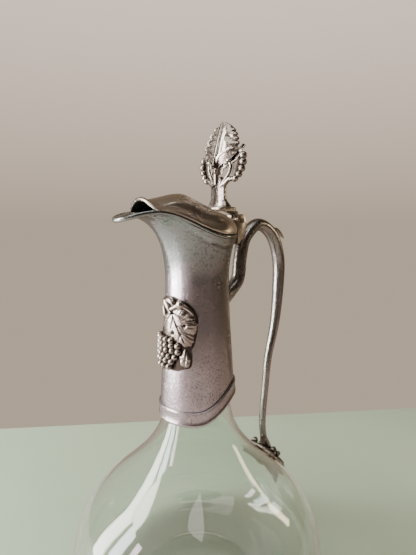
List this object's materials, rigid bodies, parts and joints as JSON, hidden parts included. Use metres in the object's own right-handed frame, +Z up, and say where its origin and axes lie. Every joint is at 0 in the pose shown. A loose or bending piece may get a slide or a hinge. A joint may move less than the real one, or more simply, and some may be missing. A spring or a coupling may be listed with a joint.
{
  "type": "claret jug",
  "caption": "Glass claret jug with a pewter neck sleeve, pouring lip, beaked hinged lid with leaf thumbpiece, grape badge and S-shaped cast handle.",
  "frame": {"origin": "centre of the flat base that the jug stands on", "axes": "+Z up, the spout points to -X, the handle is on +X, the lid hinge axis is along Y"},
  "size_m": [0.1624, 0.16, 0.302],
  "materials": {
    "clear_glass": "clear blown glass, polished",
    "plaster": "matt plaster of Paris fill",
    "adhesive": "aged brown adhesive",
    "sleeve_pewter": "spun pewter with a grey-green patina and fine pitting",
    "handle_pewter": "cast pewter, hand polished, warm grey",
    "badge_pewter": "cast pewter, dark recesses and bright high spots",
    "lid_pewter": "cast pewter, dull warm brown-grey patina",
    "thumbpiece_pewter": "cast pewter, rubbed bright on the high spots",
    "pin_steel": "drawn metal pin"
  },
  "bodies": {
    "jug": {"glass_body": "clear_glass", "neck_plaster": "plaster", "neck_sleeve": "sleeve_pewter", "collar_band": "sleeve_pewter", "handle": "handle_pewter", "adhesive_pad": "adhesive", "handle_leaf_plate": "handle_pewter", "terminal_berry_near": "handle_pewter", "terminal_berry_far": "handle_pewter", "badge_twig": "badge_pewter", "badge_vine_leaf": "badge_pewter", "badge_small_leaf": "badge_pewter", "badge_grapes": "badge_pewter", "hinge_knuckle_near": "lid_pewter", "hinge_knuckle_far": "lid_pewter", "hinge_pin": "pin_steel"},
    "lid": {"lid_shell": "lid_pewter", "lid_knuckle": "lid_pewter", "thumbpiece_stem": "thumbpiece_pewter", "thumbpiece_leaf": "thumbpiece_pewter", "thumbpiece_scroll_near": "thumbpiece_pewter", "thumbpiece_scroll_far": "thumbpiece_pewter", "thumbpiece_beads_near": "thumbpiece_pewter", "thumbpiece_beads_far": "thumbpiece_pewter"}
  },
  "joints": [
    {"name": "lid_hinge", "type": "hinge", "parent": "jug", "child": "lid", "pos_m": [0.029, 0, 0.2405], "axis": [0, 1, 0], "range_deg": [0, 75]}
  ]
}
